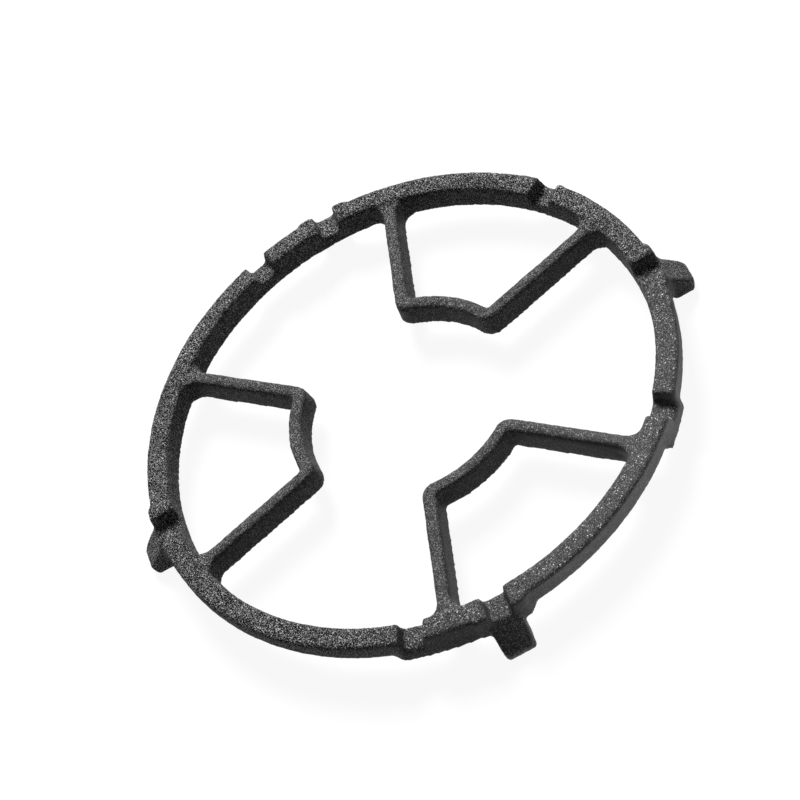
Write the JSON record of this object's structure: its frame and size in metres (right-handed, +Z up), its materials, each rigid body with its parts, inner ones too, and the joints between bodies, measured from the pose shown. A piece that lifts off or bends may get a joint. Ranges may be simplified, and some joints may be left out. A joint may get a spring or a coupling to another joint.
{
  "type": "hob pan support",
  "caption": "Round cast-iron pan support for a gas hob: a ring notched to sit on the hob's fingers, with inward loops that carry a small pot and sloping lugs that centre it.",
  "frame": {"origin": "On the ring's axis, on the plane that the lugs stand on when the notched face is up.", "axes": "+Z is up along the ring's axis, towards the notched face. -X points to the notch that the four-finger and five-finger sets share. The lugs lie on the X and Y axes."},
  "size_m": [0.2198, 0.2198, 0.0171],
  "materials": {
    "cast_iron": "rough as-cast skin, matt dark grey with fine bright grains"
  },
  "bodies": {
    "root": {"pan_support": "cast_iron"}
  },
  "joints": []
}
